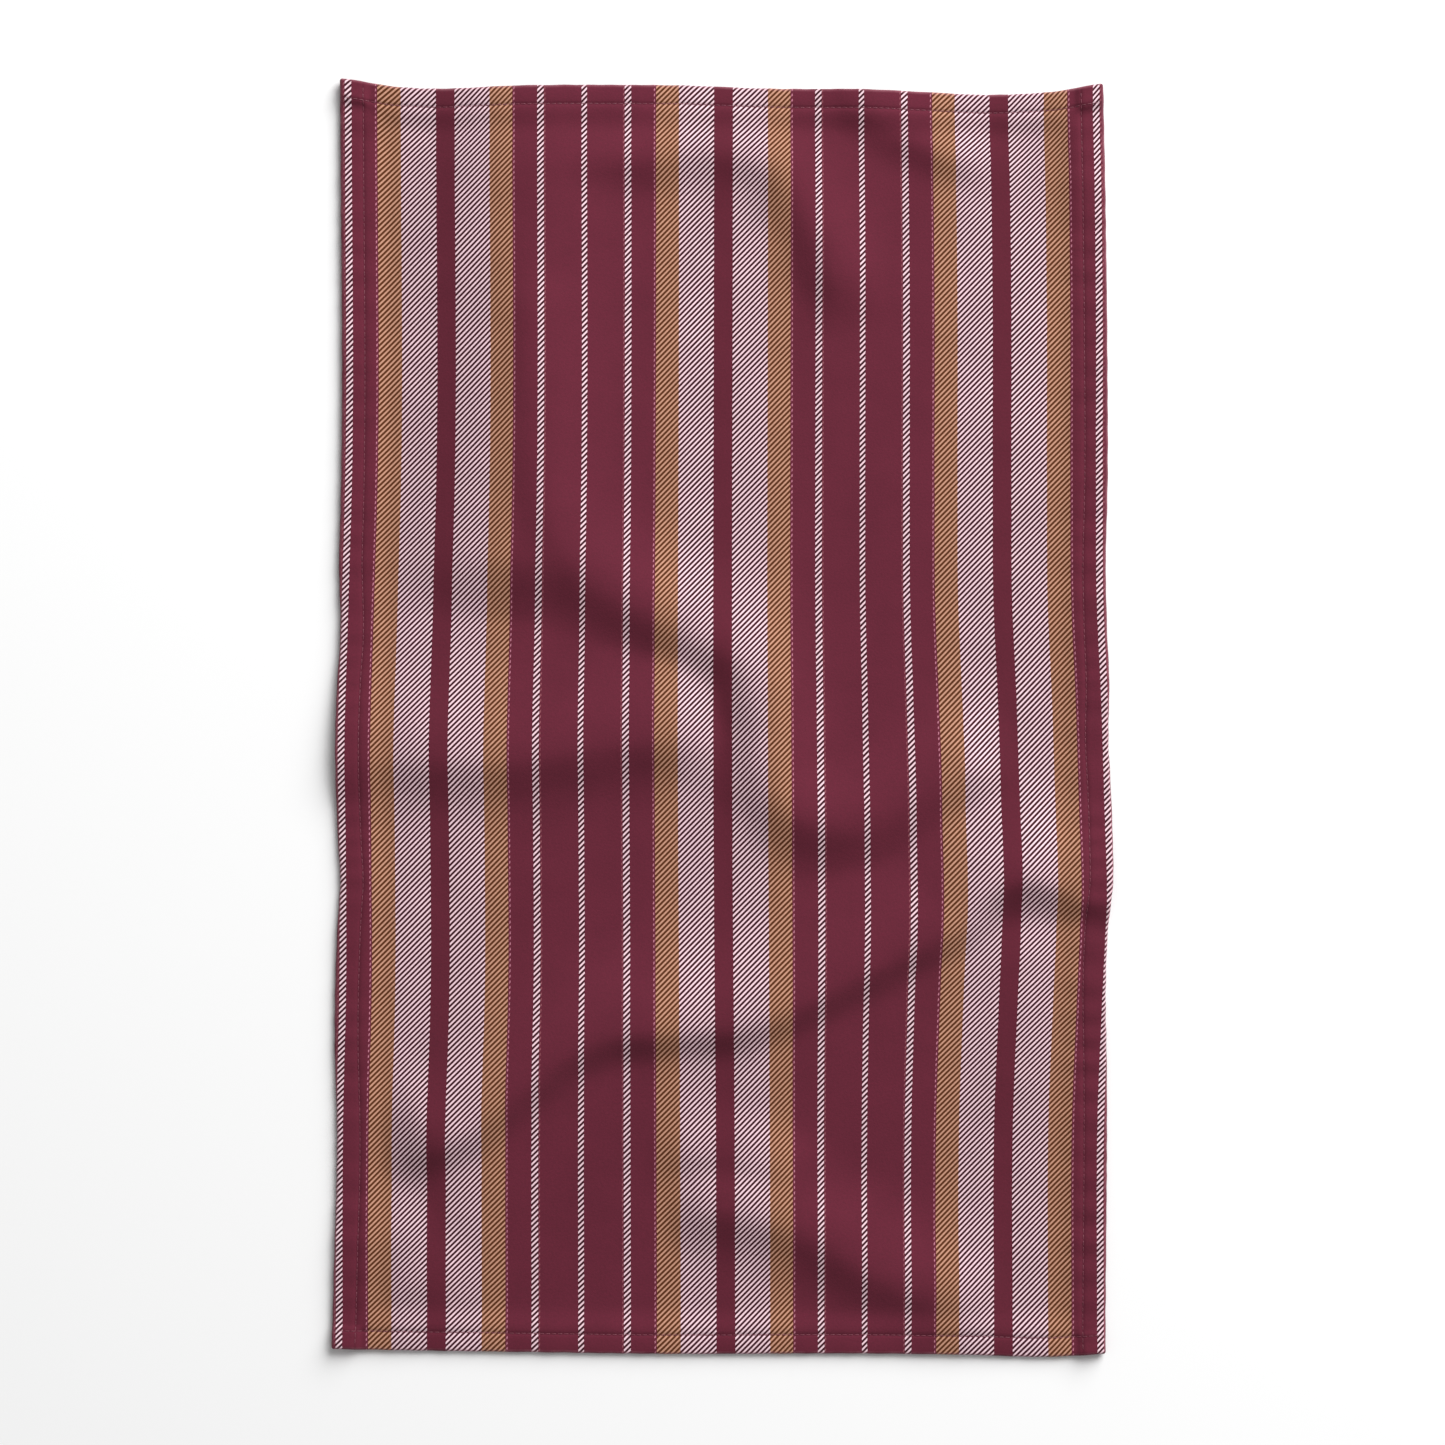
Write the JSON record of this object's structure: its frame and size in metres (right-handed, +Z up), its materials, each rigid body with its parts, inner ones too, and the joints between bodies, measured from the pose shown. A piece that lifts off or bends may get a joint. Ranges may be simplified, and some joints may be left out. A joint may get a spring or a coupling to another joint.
{
  "type": "golf towel",
  "caption": "Rectangular hemmed golf towel lying flat and slightly rumpled, with lengthwise stripes and stitched double-turned edges.",
  "frame": {"origin": "middle of the towel's plan, on the surface that it lies on", "axes": "+X across the towel, +Y along it, +Z up out of the printed face"},
  "size_m": [0.381, 0.63, 0.0105],
  "materials": {
    "towel_cloth": "short-pile cloth with printed lengthwise stripes",
    "seam_thread": "polyester sewing thread, tone on tone"
  },
  "bodies": {
    "root": {"towel_panel": "towel_cloth", "hem_left": "towel_cloth", "hem_right": "towel_cloth", "hem_top": "towel_cloth", "hem_bottom": "towel_cloth", "needle_thread_left": "seam_thread", "needle_thread_right": "seam_thread", "needle_thread_top": "seam_thread", "needle_thread_bottom": "seam_thread", "bobbin_thread_left": "seam_thread", "bobbin_thread_right": "seam_thread", "bobbin_thread_top": "seam_thread", "bobbin_thread_bottom": "seam_thread"}
  },
  "joints": []
}
